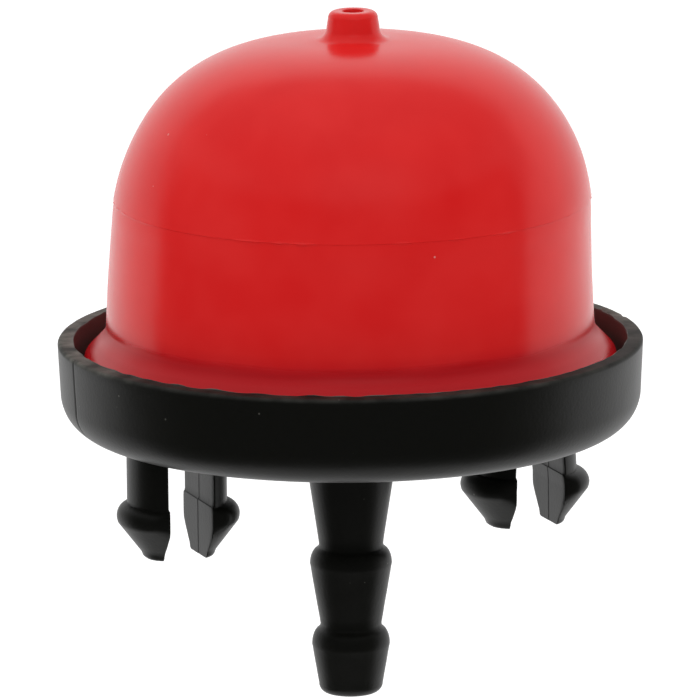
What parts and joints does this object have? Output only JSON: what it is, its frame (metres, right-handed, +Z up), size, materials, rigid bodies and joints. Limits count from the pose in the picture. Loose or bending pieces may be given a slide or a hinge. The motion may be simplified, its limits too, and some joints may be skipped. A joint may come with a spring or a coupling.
{
  "type": "primer bulb",
  "caption": "Snap-in squeeze primer bulb: a vented rubber dome in a plastic cup with snap legs and a barbed hose stub.",
  "frame": {"origin": "centre of the cup's flat underside, the face that seats on the panel", "axes": "+Z up along the bulb, from the panel towards the nipple; the two snap studs stand on the X axis; the hose barb points down -Z"},
  "size_m": [0.0382, 0.0382, 0.0453],
  "materials": {
    "red_rubber": "glossy smooth red rubber",
    "black_plastic": "satin moulded black plastic"
  },
  "bodies": {
    "root": {"base": "black_plastic", "bulb": "red_rubber"}
  },
  "joints": []
}
